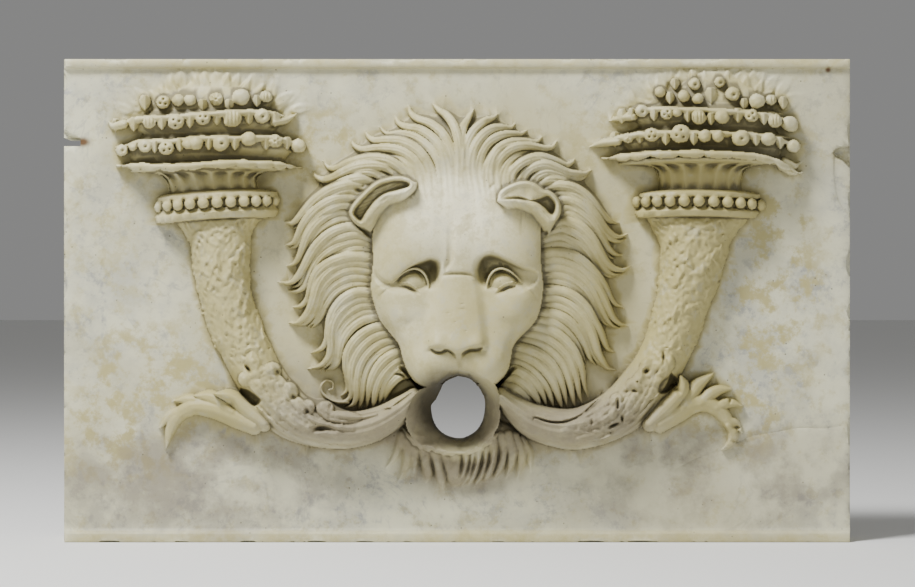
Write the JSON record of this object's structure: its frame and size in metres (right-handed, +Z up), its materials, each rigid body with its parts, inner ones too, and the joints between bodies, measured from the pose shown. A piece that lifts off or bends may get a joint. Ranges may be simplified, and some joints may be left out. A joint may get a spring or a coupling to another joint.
{
  "type": "lion mask panel",
  "caption": "Upright marble panel carved in relief with a lion's mask, pierced at the mouth as a water spout, between two cornucopias heaped with seed heads and leaves.",
  "frame": {"origin": "middle of the underside the slab stands on", "axes": "+X to the right and +Z up as seen from the carved front, +Y out of the plain back"},
  "size_m": [1.1, 0.1951, 0.676],
  "materials": {
    "marble": "satin, weathered"
  },
  "bodies": {
    "root": {"lion_mask_panel": "marble"}
  },
  "joints": []
}
